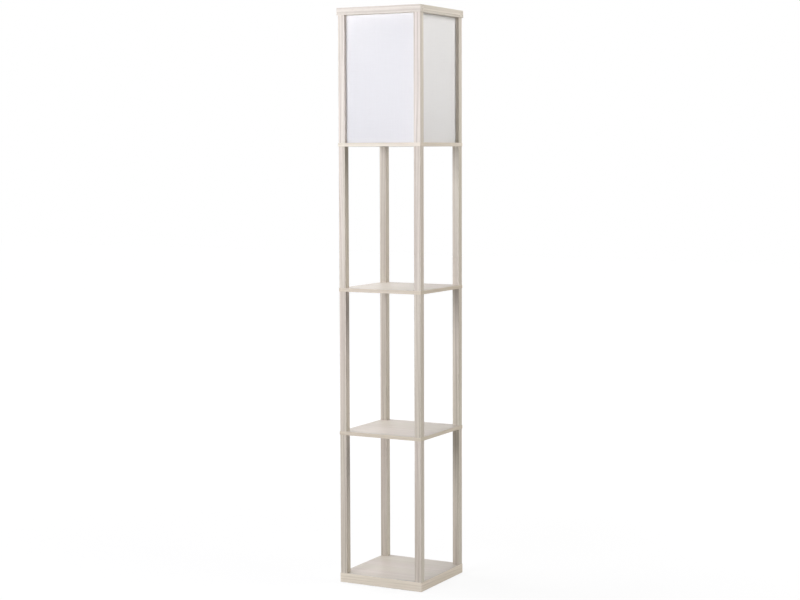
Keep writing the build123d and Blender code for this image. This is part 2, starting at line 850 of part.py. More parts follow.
finish("bulb_tip", make_bulb_tip())
finish("bulb_insulator", make_bulb_insulator())
finish("bulb_cap", make_bulb_cap())
finish("bulb_housing", make_bulb_housing())
finish("driver_board", make_driver_board())
finish("led_board", make_led_board())
finish("bulb_globe", make_bulb_globe())

bulb_rise = thread_pitch * unscrew_turns
print(f"{len(finished)} pieces, height {lamp_height:.1f} mm")
print(f"bulb rises {bulb_rise:.2f} mm in {unscrew_turns:.0f} turns")
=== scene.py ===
# %% [markdown]
# # Dressing a shelf floor lamp
#
# The lamp is a tower of four square posts with a base board, two shelves and a lamp deck. Four white panels
# stand between the top posts and hide the bulb. Its solids come ready made, in metres, and stay where they are.
# This lesson gives them their finishes, builds the few pieces that need more form than the solids have, and then
# sets up a plain white studio round them.

# %% Load the lamp's solids
import math

import bmesh
import bpy
from mathutils import Matrix, Vector


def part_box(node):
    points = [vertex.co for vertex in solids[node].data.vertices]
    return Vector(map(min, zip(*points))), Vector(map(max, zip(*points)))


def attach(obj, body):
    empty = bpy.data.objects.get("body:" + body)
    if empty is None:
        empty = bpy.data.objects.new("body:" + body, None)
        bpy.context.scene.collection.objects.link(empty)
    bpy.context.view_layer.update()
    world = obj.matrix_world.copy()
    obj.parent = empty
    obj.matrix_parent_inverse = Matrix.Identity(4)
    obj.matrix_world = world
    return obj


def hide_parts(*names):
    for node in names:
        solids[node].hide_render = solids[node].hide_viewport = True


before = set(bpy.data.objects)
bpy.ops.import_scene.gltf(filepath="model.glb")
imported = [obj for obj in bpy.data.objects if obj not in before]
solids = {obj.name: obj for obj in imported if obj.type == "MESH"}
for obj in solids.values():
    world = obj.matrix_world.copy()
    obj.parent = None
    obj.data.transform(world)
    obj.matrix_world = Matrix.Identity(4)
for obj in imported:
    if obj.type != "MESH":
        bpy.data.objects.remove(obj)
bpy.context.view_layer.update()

MM = 0.001

# %% [markdown]
# ## Words for building finishes
#
# A finish is a small network of nodes: places on the surface go in, and colour, gloss and tiny bumps come out.
# It could be wired by hand in the shader editor. Written as code, each step of the network becomes one line, so a
# few short helpers are worth having first. Most of them give back a socket that the next line can use.


# %% Helpers: one node, and sums with numbers and places
def node(tree, kind, sockets=None, **settings):
    """Add one node, set its settings, and fill its sockets with values or with other sockets."""
    made = tree.nodes.new(kind)
    for name, value in settings.items():
        setattr(made, name, value)
    for name, value in (sockets or {}).items():
        if isinstance(value, bpy.types.NodeSocket):
            tree.links.new(value, made.inputs[name])
        else:
            made.inputs[name].default_value = value
    return made


def calc(tree, operation, first, second=0.0, third=0.0):
    """Arithmetic on numbers."""
    return node(tree, "ShaderNodeMath", {0: first, 1: second, 2: third}, operation=operation).outputs[0]


def calc_vector(tree, operation, first, second):
    """Arithmetic on places and directions."""
    return node(tree, "ShaderNodeVectorMath", {0: first, 1: second}, operation=operation).outputs["Vector"]


# %% Helpers: easing, clouds and blending
CLOUD_LOW, CLOUD_HIGH = 0.3, 0.7
MIX_SHARE = 0
COLOUR_FIRST, COLOUR_SECOND, COLOUR_OUT = 6, 7, 2
PLACE_FIRST, PLACE_SECOND, PLACE_OUT = 4, 5, 1


def ease(tree, value, low, high, start=0.0, end=1.0):
    """Follow value smoothly from start, where it is low, to end, where it is high."""
    sockets = {"Value": value, "From Min": low, "From Max": high, "To Min": start, "To Max": end}
    return node(tree, "ShaderNodeMapRange", sockets, interpolation_type="SMOOTHSTEP").outputs["Result"]


def cloud(tree, place, scale, detail=2.0, rough=0.5):
    """Soft random variation between 0 and 1, with its size set by scale along each direction."""
    stretched = calc_vector(tree, "MULTIPLY", place, scale)
    sockets = {"Vector": stretched, "Scale": 1.0, "Detail": detail, "Roughness": rough}
    return node(tree, "ShaderNodeTexNoise", sockets).outputs["Fac"]


def evenly(scale):
    """The same scale along all three directions."""
    return (scale, scale, scale)


def spread(tree, value, start=0.0, end=1.0):
    """Spread a cloud from start to end, because most of its values lie in the middle of its range."""
    return ease(tree, value, CLOUD_LOW, CLOUD_HIGH, start, end)


def as_colour(value):
    """A colour as a socket takes it: another socket stays as it is, and three numbers get a fourth."""
    return value if isinstance(value, bpy.types.NodeSocket) else (*value, 1.0)


def mix_colour(tree, share, first, second, blend="MIX"):
    """Blend two colours; share is 0 for the first and 1 for the second."""
    sockets = {MIX_SHARE: share, COLOUR_FIRST: as_colour(first), COLOUR_SECOND: as_colour(second)}
    return node(tree, "ShaderNodeMix", sockets, data_type="RGBA", blend_type=blend).outputs[COLOUR_OUT]


# %% Helpers: a new finish
def new_finish(name):
    """A material with one main shader, its network and the shader node."""
    material = bpy.data.materials.new(name)
    material.use_nodes = True
    tree = material.node_tree
    tree.nodes.clear()
    shader = node(tree, "ShaderNodeBsdfPrincipled")
    node(tree, "ShaderNodeOutputMaterial", {"Surface": shader.outputs["BSDF"]})
    return material, tree, shader


def connect(tree, shader, colour, roughness, height, depth):
    """Connect a finish: its colour, its roughness, and bumps that are `depth` metres high."""
    bump = node(tree, "ShaderNodeBump", {"Strength": 1.0, "Distance": depth, "Height": height})
    tree.links.new(colour, shader.inputs["Base Color"])
    tree.links.new(roughness, shader.inputs["Roughness"])
    tree.links.new(bump.outputs["Normal"], shader.inputs["Normal"])


def body_place(tree):
    """Where a point is on the lamp, in metres. It moves with its piece, so a pattern never slides."""
    return node(tree, "ShaderNodeTexCoord").outputs["Object"]


def facing(tree):
    """How far the surface faces along each of the three directions, from 0 to 1, as x, y and z."""
    normal = node(tree, "ShaderNodeTexCoord").outputs["Normal"]
    away = node(tree, "ShaderNodeVectorMath", {0: normal}, operation="ABSOLUTE").outputs["Vector"]
    split = node(tree, "ShaderNodeSeparateXYZ", {0: away})
    return split.outputs[0], split.outputs[1], split.outputs[2]


# %% [markdown]
# ## Washed oak
#
# The boards and posts are faced with a pale, greyish oak foil: a printed and lightly pressed paper film. Such a
# grain could be a photograph wrapped round each piece. A computed grain is used here because it never repeats, and
# every post gets its own cut of it. It has the parts that the real timber has: wide growth lines that wander,
# fine straight fibres in streaks and stripes, short dark pores, and a slow drift between a pinkish and a yellowish
# grey. Everything is drawn out along the grain, so the first step is to turn each piece's own direction into
# "across" and "along".


# %% Washed oak: which way the grain runs
CUT_STEP = (0.173, 0.291, 0.617)
FACING_SIDEWAYS = 0.7


def grain_place(tree, along):
    """The place as (across, across, along the grain). On a board the edges have their grain along the edge."""
    x, y, z = node(tree, "ShaderNodeSeparateXYZ", {0: body_place(tree)}).outputs
    orders = {"x": (y, z, x), "y": (x, z, y), "z": (x, y, z)}

    def turned_along(direction):
        return node(tree, "ShaderNodeCombineXYZ", dict(enumerate(orders[direction]))).outputs[0]

    if along == "board":
        is_side = calc(tree, "GREATER_THAN", facing(tree)[0], FACING_SIDEWAYS)
        sockets = {MIX_SHARE: is_side, PLACE_FIRST: turned_along("x"), PLACE_SECOND: turned_along("y")}
        turned = node(tree, "ShaderNodeMix", sockets, data_type="VECTOR").outputs[PLACE_OUT]
    else:
        turned = turned_along(along)
    cut = node(tree, "ShaderNodeObjectInfo").outputs["Object Index"]
    joined = node(tree, "ShaderNodeCombineXYZ", {0: cut, 1: cut, 2: cut}).outputs[0]
    return calc_vector(tree, "ADD", turned, calc_vector(tree, "MULTIPLY", joined, CUT_STEP))


# %% Washed oak: growth lines, fibres and pores
# For each part: its scale across the grain and along it, how much fine detail it has, and how rough that is.
GRAIN_CLOUDS = {
    "stray": (8.0, 0.9, 2.0, 0.45),
    "streak": (170.0, 2.6, 3.0, 0.6),
    "fibre": (1100.0, 16.0, 3.0, 0.6),
    "dash": (2100.0, 95.0, 1.0, 0.4),
    "patch": (60.0, 6.0, 2.0, 0.5),
    "stripe": (190.0, 1.1, 1.0, 0.5),
    "drift": (16.0, 1.3, 2.0, 0.5),
}
RING_WIDTH = 9.0 * MM
# Each growth line deepens slowly and ends at once.
LATE_DEEPENS, LATE_ENDS = (0.35, 0.92), (1.0, 0.94)


def grain_cloud(tree, place, part):
    """The cloud of one part of the grain."""
    across, along, detail, rough = GRAIN_CLOUDS[part]
    return cloud(tree, place, (across, across, along), detail, rough)


def late_wood(tree, place, wander):
    """The darker end of each growth line, from 0 to 1. wander is how far the lines stray."""
    split = node(tree, "ShaderNodeSeparateXYZ", {0: place})
    across = calc(tree, "ADD", split.outputs[0], split.outputs[1])
    count = calc(tree, "DIVIDE", across, RING_WIDTH)
    stray = grain_cloud(tree, place, "stray")
    phase = calc(tree, "FRACT", calc(tree, "MULTIPLY_ADD", stray, wander, count))
    return calc(tree, "MULTIPLY", ease(tree, phase, *LATE_DEEPENS), ease(tree, phase, *LATE_ENDS))


def open_pore(tree, place):
    """Short dark dashes, crowded in some patches and rare in others, from 0 to 1."""
    dashes = ease(tree, grain_cloud(tree, place, "dash"), 0.60, 0.72)
    patches = ease(tree, grain_cloud(tree, place, "patch"), 0.35, 0.65, start=0.25)
    return calc(tree, "MULTIPLY", dashes, patches)


print("parts of the grain:", ", ".join(GRAIN_CLOUDS))

# %% Washed oak: its colour and its height
OAK_PALE = (0.785, 0.738, 0.660)
OAK_MIDDLE = (0.545, 0.489, 0.418)
OAK_DARK = (0.400, 0.338, 0.272)
OAK_ROSY = (1.015, 0.985, 0.985)
OAK_STRAW = (0.995, 0.992, 0.950)
MEAN_SHARE = 0.45
STREAK_SHARE, FIBRE_SHARE, FIGURE_SHARE = 0.45, 0.30, 0.72
STRIPE_PALE, STRIPE_DEEP = -0.26, 0.36
FIBRE_RISE, LATE_RISE, PORE_SINK = 0.35, 0.25, -0.9


def oak_grain(tree, place, foil):
    """Colour and height of the grain, and its pores. The foil says how strongly each of them shows."""
    late = late_wood(tree, place, foil["wander"])
    pore = open_pore(tree, place)
    streak = grain_cloud(tree, place, "streak")
    fibre = grain_cloud(tree, place, "fibre")
    stripe = ease(tree, grain_cloud(tree, place, "stripe"), 0.37, 0.63, STRIPE_PALE, STRIPE_DEEP)

    deepness = calc(tree, "MULTIPLY", late, spread(tree, streak, 0.25, 0.75))
    deepness = calc(tree, "MULTIPLY_ADD", ease(tree, streak, 0.28, 0.75), STREAK_SHARE, deepness)
    deepness = calc(tree, "MULTIPLY_ADD", ease(tree, fibre, 0.3, 0.72), FIBRE_SHARE, deepness)
    deepness = calc(tree, "ADD", deepness, stripe)
    figure = foil["figure"]
    share = calc(tree, "MULTIPLY_ADD", deepness, FIGURE_SHARE * figure, MEAN_SHARE * (1.0 - figure))
    share = node(tree, "ShaderNodeClamp", {"Value": share}).outputs[0]

    colour = mix_colour(tree, share, OAK_PALE, OAK_MIDDLE)
    colour = mix_colour(tree, calc(tree, "MULTIPLY", pore, foil["open_pores"]), colour, OAK_DARK)
    drift = ease(tree, grain_cloud(tree, place, "drift"), 0.35, 0.65)
    colour = mix_colour(tree, 1.0, colour, mix_colour(tree, drift, OAK_ROSY, OAK_STRAW), "MULTIPLY")

    height = calc(tree, "MULTIPLY_ADD", fibre, FIBRE_RISE, calc(tree, "MULTIPLY", pore, PORE_SINK))
    height = calc(tree, "MULTIPLY_ADD", late, LATE_RISE, height)
    return colour, height, pore


# %% [markdown]
# ## Oak for posts, rails and boards
#
# On posts and rails the foil goes round the corners, where it is stretched and rubs pale; that pale colour
# also carries a painted highlight along each rounded corner. On the boards the foil covers only the top and
# the underside, which are darkened as painted shade against the strong light from above. Their edges have a
# thin glued band, creamier than the faces, and the photograph shows it clearly as a light line round each shelf.
# The band could be a strip of its own, but it is hardly thicker than paper. A finish can tell the parts of a
# piece apart by the way the surface faces: flat faces look straight along one direction, and rounded corners
# look in between. The posts below the lamp deck get a darker tone, which is painted shade for the light that
# falls off lower down. Each board's band gets its own colour, and the deck's lighter one is painted light for
# the stronger light up there.


# %% Oak: rubbed corners with painted highlight, glued edge bands and painted shade on board faces
# Pale corners are partly rubbed foil and partly a painted highlight along each rounded edge.
RUBBED_AND_HIGHLIGHT = (0.86, 0.805, 0.735)
RUBBED_AND_HIGHLIGHT_SHARE = 0.60
# Board faces are darkened against the strong light from above: painted shade.
BOARD_FACE_PAINTED_SHADE = (0.745, 0.745, 0.765)
GLUE_LINE = (0.50, 0.43, 0.35)
GLUE_SHARE = 0.35
# How straight a surface faces where each change begins and where it is complete.
CORNER_CHANGE = (0.97, 0.80)
BAND_CHANGE = (0.80, 0.72)
GLUE_STARTS, GLUE_ENDS = (0.70, 0.80), (0.93, 0.84)


def rub_and_highlight_corners(tree, colour, out_x, out_y, out_z):
    """Rubbed corners with a painted highlight: where the surface faces none of the three directions straight on."""
    most = calc(tree, "MAXIMUM", calc(tree, "MAXIMUM", out_x, out_y), out_z)
    corner = ease(tree, most, *CORNER_CHANGE)
    return mix_colour(tree, calc(tree, "MULTIPLY", corner, RUBBED_AND_HIGHLIGHT_SHARE), colour, RUBBED_AND_HIGHLIGHT)


def glue_band(tree, colour, out_z, band):
    """Painted shade on the faces, the band's own colour on the edges, and a fine dark glue line between."""
    edge = ease(tree, out_z, *BAND_CHANGE)
    colour = mix_colour(tree, 1.0, colour, mix_colour(tree, edge, BOARD_FACE_PAINTED_SHADE, band), "MULTIPLY")
    seam = calc(tree, "MULTIPLY", ease(tree, out_z, *GLUE_STARTS), ease(tree, out_z, *GLUE_ENDS))
    return mix_colour(tree, calc(tree, "MULTIPLY", seam, GLUE_SHARE), colour, GLUE_LINE)


# %% Oak finishes
POST_FOIL = {
    "wander": 7.0, "figure": 1.0, "open_pores": 0.42, "roughness": (0.38, 0.46), "relief": 0.10 * MM,
}
BOARD_FOIL = {
    "wander": 16.0, "figure": 0.5, "open_pores": 0.07, "roughness": (0.42, 0.48), "relief": 0.004 * MM,
}
PORE_DULLNESS = 0.28
OAK_IOR = 1.46
SHELF_BAND = (0.955, 0.925, 0.855)
# The deck's band is lighter than the shelves': painted light for the stronger light up at the deck.
DECK_BAND_PAINTED_LIGHT = (1.12, 1.12, 1.08)
BASE_BAND = (1.19, 1.165, 1.12)
# Posts below the lamp deck are darker: painted shade for the light that falls off lower down.
LOW_POST_PAINTED_SHADE = (0.915, 0.907, 0.885)


def oak_finish(name, along, foil, band=None, painted_shade=None):
    """Oak foil with its grain along x, y or z, or as on a board, whose band gives the colour of its edges."""
    material, tree, shader = new_finish(name)
    colour, height, pore = oak_grain(tree, grain_place(tree, along), foil)
    out_x, out_y, out_z = facing(tree)
    if band:
        colour = glue_band(tree, colour, out_z, band)
    else:
        colour = rub_and_highlight_corners(tree, colour, out_x, out_y, out_z)
    # Painted shade: a darker tone for the posts that stand lower, where less light falls.
    if painted_shade:
        colour = mix_colour(tree, 1.0, colour, painted_shade, "MULTIPLY")
    patches = cloud(tree, body_place(tree), evenly(45.0), 3.0, 0.55)
    dullness = spread(tree, patches, *foil["roughness"])
    roughness = calc(tree, "MULTIPLY_ADD", pore, PORE_DULLNESS * foil["open_pores"], dullness)
    connect(tree, shader, colour, roughness, height, foil["relief"])
    shader.inputs["IOR"].default_value = OAK_IOR
    return material


oak_post = oak_finish("washed_oak_post", "z", POST_FOIL)
oak_low_post_painted_shade = oak_finish("washed_oak_low_post_painted_shade", "z", POST_FOIL, painted_shade=LOW_POST_PAINTED_SHADE)
oak_rail_across = oak_finish("washed_oak_rail_across", "x", POST_FOIL)
oak_rail_deep = oak_finish("washed_oak_rail_deep", "y", POST_FOIL)
oak_shelf = oak_finish("washed_oak_shelf", "board", BOARD_FOIL, band=SHELF_BAND)
oak_deck = oak_finish("washed_oak_deck", "board", BOARD_FOIL, band=DECK_BAND_PAINTED_LIGHT)
oak_base = oak_finish("washed_oak_base", "board", BOARD_FOIL, band=BASE_BAND)
print("oak finishes:", [m.name for m in bpy.data.materials if m.name.startswith("washed_oak")])

# %% [markdown]
# ## Shade cloth on a stiff film
#
# Each white panel is a plain weave bonded to a stiff plastic film. Its cloth lets a good part of the light
# through, which is why the panel in shade still looks nearly as white as the one that faces the light. It could
# be made to glow by itself, but then it would glow in a dark room too. A thin solid with light scattering inside
# it passes on only the light that reaches it. The weave is two sets of threads that take turns on top, with a few
# thicker places in each thread.

# %% How light gets through
EVEN_RADIUS = (1.0, 1.0, 1.0)
SHADE_SCATTER_LENGTH = 4.1 * MM


def let_light_through(shader, length):
    """Let light in under the surface and out again about `length` metres away, the same for every colour."""
    shader.inputs["Subsurface Weight"].default_value = 1.0
    shader.inputs["Subsurface Radius"].default_value = EVEN_RADIUS
    shader.inputs["Subsurface Scale"].default_value = length


# %% Shade cloth
THREAD_PITCH = 0.55 * MM
THREAD_HEIGHT = 0.06 * MM
SLUB_LOW, SLUB_HIGH = 0.8, 1.2
SLUB_SHARE, SLUB_RISE = 0.7, 0.6
CLOTH_WHITE = (0.987, 0.974, 1.0)
CLOTH_SHADED = tuple(0.95 * c for c in CLOTH_WHITE)


def weave(tree):
    """Height of a plain weave on an upright panel, and how thick each thread is there."""
    split = node(tree, "ShaderNodeSeparateXYZ", {0: body_place(tree)})
    sideways = calc(tree, "ADD", split.outputs[0], split.outputs[1])
    turn = math.pi / THREAD_PITCH
    upright = calc(tree, "SINE", calc(tree, "MULTIPLY", sideways, turn))
    level = calc(tree, "SINE", calc(tree, "MULTIPLY", split.outputs[2], turn))
    crossing = calc(tree, "MULTIPLY", upright, level)
    slub_level = cloud(tree, body_place(tree), (18.0, 18.0, 1500.0), rough=0.6)
    slub_upright = cloud(tree, body_place(tree), (1500.0, 1500.0, 18.0), rough=0.6)
    return crossing, calc(tree, "ADD", slub_level, slub_upright)


def shade_cloth_finish():
    material, tree, shader = new_finish("white_shade_cloth")
    crossing, slub = weave(tree)
    soft = spread(tree, cloud(tree, body_place(tree), evenly(9.0)), 0.0, 0.3)
    share = calc(tree, "MULTIPLY_ADD", ease(tree, slub, SLUB_LOW, SLUB_HIGH), SLUB_SHARE, soft)
    colour = mix_colour(tree, share, CLOTH_WHITE, CLOTH_SHADED)
    roughness = ease(tree, slub, SLUB_LOW, SLUB_HIGH, start=0.78, end=0.88)
    height = calc(tree, "MULTIPLY_ADD", slub, SLUB_RISE, crossing)
    connect(tree, shader, colour, roughness, height, THREAD_HEIGHT)
    shader.inputs["Sheen Weight"].default_value = 0.15
    shader.inputs["Sheen Roughness"].default_value = 0.5
    let_light_through(shader, SHADE_SCATTER_LENGTH)
    return material


shade_cloth = shade_cloth_finish()
print(f"weave: {0.01 / THREAD_PITCH:.0f} threads to the centimetre")

# %% Shade film
FILM_WHITE = (0.985, 0.978, 0.990)
FILM_SHADED = tuple(0.98 * c for c in FILM_WHITE)


def shade_film_finish():
    material, tree, shader = new_finish("white_shade_film")
    grain = cloud(tree, body_place(tree), evenly(1600.0))
    haze = cloud(tree, body_place(tree), evenly(30.0))
    colour = mix_colour(tree, spread(tree, haze), FILM_WHITE, FILM_SHADED)
    connect(tree, shader, colour, spread(tree, haze, 0.40, 0.50), grain, depth=0.02 * MM)
    let_light_through(shader, SHADE_SCATTER_LENGTH)
    return material


shade_film = shade_film_finish()
print(f"light travels {SHADE_SCATTER_LENGTH / MM:.1f} mm inside {shade_cloth.name} and {shade_film.name}")

# %% [markdown]
# ## Felt, rubber and beech
#
# These small pieces are hidden underneath or inside, and one plain colour each could do. They are still real
# pieces of the lamp, though, and somebody may take it apart, so each gets its own finish. Felt is a mat of crossing
# fibres, so its bumps come from noise that is drawn out two ways. Rubber is plain, dark and slightly dusty. The
# dowels are bare turned beech, with short dark flecks.

# %% Felt and rubber
FELT_DARK, FELT_PALE = (0.15, 0.142, 0.135), (0.27, 0.255, 0.24)
RUBBER_BLACK, RUBBER_DUSTY = (0.055, 0.054, 0.053), (0.11, 0.108, 0.104)


def felt_finish():
    material, tree, shader = new_finish("needled_felt")
    place = body_place(tree)
    one_way = cloud(tree, place, (2600.0, 320.0, 900.0))
    other_way = cloud(tree, place, (320.0, 2600.0, 900.0))
    fibres = calc(tree, "MAXIMUM", one_way, other_way)
    colour = mix_colour(tree, ease(tree, fibres, 0.45, 0.7), FELT_DARK, FELT_PALE)
    roughness = ease(tree, fibres, 0.4, 0.7, start=0.95, end=0.85)
    connect(tree, shader, colour, roughness, fibres, depth=0.25 * MM)
    shader.inputs["Sheen Weight"].default_value = 0.4
    return material


def rubber_finish():
    material, tree, shader = new_finish("soft_black_rubber")
    place = body_place(tree)
    dust = cloud(tree, place, evenly(420.0), 4.0, 0.6)
    colour = mix_colour(tree, ease(tree, dust, 0.5, 0.8), RUBBER_BLACK, RUBBER_DUSTY)
    roughness = ease(tree, dust, 0.35, 0.7, start=0.55, end=0.75)
    connect(tree, shader, colour, roughness, cloud(tree, place, evenly(1800.0)), depth=0.04 * MM)
    return material


felt = felt_finish()
black_rubber = rubber_finish()
print("for the pads and the cable hole:", felt.name, "and", black_rubber.name)

# %% Beech
BEECH_PALE, BEECH_DEEP, BEECH_FLECK = (0.68, 0.50, 0.34), (0.58, 0.41, 0.27), (0.36, 0.22, 0.13)


def beech_finish():
    material, tree, shader = new_finish("turned_beech")
    place = grain_place(tree, "y")
    fleck = ease(tree, cloud(tree, place, (1400.0, 1400.0, 260.0), 1.0), 0.6, 0.7)
    streak = cloud(tree, place, (300.0, 300.0, 8.0), 3.0)
    colour = mix_colour(tree, spread(tree, streak), BEECH_PALE, BEECH_DEEP)
    colour = mix_colour(tree, calc(tree, "MULTIPLY", fleck, 0.5), colour, BEECH_FLECK)
    connect(tree, shader, colour, spread(tree, streak, 0.55, 0.65), streak, depth=0.08 * MM)
    return material


beech = beech_finish()
print("for the dowels:", beech.name)

# %% [markdown]
# ## Metals
#
# The screws, sleeves, contacts and cups are plated steel or brass. A plain mirror could stand for them, but plated
# metal is never perfect: its colour shifts a little, and fine lines from turning or stamping scatter the light.
# One function makes them all, from two close colours and a roughness, because zinc, brass and nickel differ in
# little else.


# %% Metals
LINE_DULLNESS = 0.08


def metal_finish(name, bright, dull, smooth, coarse):
    """Plated metal; its colour and roughness drift between the two values that each of them gets."""
    material, tree, shader = new_finish(name)
    place = body_place(tree)
    bloom = cloud(tree, place, evenly(260.0), 4.0, 0.6)
    lines = cloud(tree, place, (500.0, 500.0, 5200.0))
    colour = mix_colour(tree, ease(tree, bloom, 0.35, 0.7), bright, dull)
    roughness = calc(tree, "MULTIPLY_ADD", lines, LINE_DULLNESS, spread(tree, bloom, smooth, coarse))
    connect(tree, shader, colour, roughness, lines, depth=0.012 * MM)
    shader.inputs["Metallic"].default_value = 1.0
    return material


ZINC_BRIGHT, ZINC_DULL = (0.70, 0.71, 0.73), (0.56, 0.57, 0.60)
BRASS_BRIGHT, BRASS_DULL = (0.83, 0.66, 0.33), (0.66, 0.50, 0.23)
NICKEL_BRIGHT, NICKEL_DULL = (0.76, 0.74, 0.70), (0.62, 0.60, 0.57)
zinc_steel = metal_finish("bright_zinc_steel", ZINC_BRIGHT, ZINC_DULL, smooth=0.26, coarse=0.38)
brass = metal_finish("stamped_brass", BRASS_BRIGHT, BRASS_DULL, smooth=0.22, coarse=0.36)
nickel = metal_finish("nickel_plate", NICKEL_BRIGHT, NICKEL_DULL, smooth=0.16, coarse=0.28)
print("metals:", zinc_steel.name, brass.name, nickel.name)

# %% [markdown]
# ## Mouldings of the lamp holder and the bulb
#
# The holder is a hard white moulding, and the bulb's body is a satin one. Both show the faint orange-peel skin of a
# mould. The globe is milky all through, so it scatters light inside as the shade does. The disc under the cap is
# black glass. Each could have a network of its own, but they share one function, because they differ in little
# else than colour, gloss and depth.


# %% Moulded finishes
def moulded_finish(name, colour_a, colour_b, smooth, coarse, depth, ior=None, scatter_length=None):
    """A smooth moulding between two close colours. With a scatter length it is milky all through."""
    material, tree, shader = new_finish(name)
    place = body_place(tree)
    flow = cloud(tree, place, evenly(38.0))
    colour = mix_colour(tree, spread(tree, flow), colour_a, colour_b)
    connect(tree, shader, colour, spread(tree, flow, smooth, coarse), cloud(tree, place, evenly(900.0)), depth)
    if ior:
        shader.inputs["IOR"].default_value = ior
    if scatter_length:
        let_light_through(shader, scatter_length)
    return material


holder_white = moulded_finish(
    "moulded_white_holder", (0.80, 0.79, 0.76), (0.77, 0.76, 0.73), smooth=0.24, coarse=0.32, depth=0.02 * MM,
)
bulb_white = moulded_finish(
    "satin_white_bulb", (0.82, 0.82, 0.81), (0.79, 0.79, 0.785), smooth=0.38, coarse=0.46, depth=0.015 * MM,
)
black_glass = moulded_finish(
    "black_glass", (0.02, 0.02, 0.024), (0.03, 0.03, 0.034), smooth=0.06, coarse=0.12, depth=0.01 * MM, ior=1.52,
)
opal = moulded_finish(
    "opal_globe", (0.90, 0.90, 0.885), (0.88, 0.88, 0.865), smooth=0.22, coarse=0.28, depth=0.006 * MM,
    scatter_length=2.0 * MM,
)
print("mouldings:", holder_white.name, bulb_white.name, black_glass.name, opal.name)

# %% [markdown]
# ## Boards inside the bulb
#
# The globe hides a round board with light sources on it, and the body an upright one with a capacitor on one side
# and a coil on the other. They could be split into a piece for each colour. They stay whole here, and the finish
# reads the parts apart by place: above the round board, and on either side of the upright one.

# %% Boards inside the bulb
COLOUR_STEP = 0.1 * MM
LIGHT_SOURCE_HEIGHT = 0.7 * MM
DRIVER_HALF_THICKNESS = 0.8 * MM


def light_board_finish(board_top):
    material, tree, shader = new_finish("light_board")
    place = body_place(tree)
    height = node(tree, "ShaderNodeSeparateXYZ", {0: place}).outputs[2]
    is_source = ease(tree, height, board_top, board_top + COLOUR_STEP)
    speck = cloud(tree, place, evenly(2400.0))
    white = mix_colour(tree, speck, (0.84, 0.85, 0.86), (0.78, 0.79, 0.80))
    yellow = mix_colour(tree, speck, (0.88, 0.70, 0.16), (0.80, 0.60, 0.10))
    colour = mix_colour(tree, is_source, white, yellow)
    connect(tree, shader, colour, spread(tree, speck, 0.35, 0.5), speck, depth=0.01 * MM)
    return material


def driver_board_finish(face):
    material, tree, shader = new_finish("driver_board")
    place = body_place(tree)
    x = node(tree, "ShaderNodeSeparateXYZ", {0: place}).outputs[0]
    tracks = ease(tree, cloud(tree, place, (900.0, 240.0, 700.0), 0.0), 0.5, 0.53)
    windings = cloud(tree, place, (200.0, 200.0, 4200.0), 1.0)
    green = mix_colour(tree, tracks, (0.03, 0.16, 0.06), (0.05, 0.24, 0.09))
    sleeve = mix_colour(tree, cloud(tree, place, evenly(500.0)), (0.03, 0.03, 0.04), (0.06, 0.06, 0.07))
    copper = mix_colour(tree, windings, (0.60, 0.27, 0.12), (0.36, 0.14, 0.06))
    colour = mix_colour(tree, ease(tree, x, face, face + COLOUR_STEP), green, sleeve)
    colour = mix_colour(tree, ease(tree, x, -face, -face - COLOUR_STEP), colour, copper)
    roughness = ease(tree, tracks, 0.0, 1.0, start=0.35, end=0.5)
    connect(tree, shader, colour, roughness, windings, depth=0.02 * MM)
    return material


round_board_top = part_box("led_board")[1].z - LIGHT_SOURCE_HEIGHT
light_board = light_board_finish(round_board_top)
driver_board = driver_board_finish(DRIVER_HALF_THICKNESS)
print(f"round board's top: {round_board_top:.4f} m above the floor")

# %% [markdown]
# ## Put the finishes on the solids
#
# Each solid keeps its mesh and its place, and only the material in its slot changes. That could be done by hand,
# one solid after another. A list by name is quicker to read and to change, and the posts, sleeves and studs come in
# such numbers that the kind in their name is enough. Each solid also gets a number, which the oak and the beech
# read to take their own cut of the grain: two neighbours never show the same figure.

# %% A finish for each name
finish_by_name = {
    "base_board": oak_base,
    "lower_shelf": oak_shelf,
    "upper_shelf": oak_shelf,
    "lamp_deck": oak_deck,
    "top_rail_front": oak_rail_across,
    "top_rail_back": oak_rail_across,
    "top_rail_left": oak_rail_deep,
    "top_rail_right": oak_rail_deep,
    "rail_dowels": beech,
    "foot_pads": felt,
    "cable_grommet": black_rubber,
    "base_screws": zinc_steel,
    "top_screws": zinc_steel,
    "holder_screws": zinc_steel,
    "holder_base": holder_white,
    "holder_skirt": holder_white,
    "centre_contact": brass,
    "shell_contact": brass,
    "terminal_screws": brass,
    "bulb_tip": brass,
    "bulb_insulator": black_glass,
    "bulb_housing": bulb_white,
    "bulb_globe": opal,
    "led_board": light_board,
    "driver_board": driver_board,
}


def finish_for(name):
    """The finish of one solid, from the list or from the kind of piece that its name says it is."""
    if name in finish_by_name:
        return finish_by_name[name]
    if name.endswith(("_inserts", "_studs")):
        return zinc_steel
    if name.startswith(("lower_post_", "middle_post_", "upper_post_")):
        return oak_low_post_painted_shade
    if name.startswith("shade_post_"):
        return oak_post
    return None


# %% Put the finishes on the solids
for number, name in enumerate(sorted(solids), start=1):
    solids[name].pass_index = number
    if finish_for(name):
        solids[name].material_slots[0].material = finish_for(name)
print("still without a finish:", [name for name in sorted(solids) if not finish_for(name)])

# %% [markdown]
# ## Shade panels with turned hems
#
# The solid of a panel is a plain slab. The real one is a film with cloth bonded over its outer side. The cloth is
# turned in over the top and bottom edges, where it makes a second layer ten millimetres deep. Each hem could be a
# strip laid on the slab, but cloth turns over an edge in a soft fold. So the panel's cross-section is drawn once,
# from bottom to top, with its folds, and pulled along the panel's width.

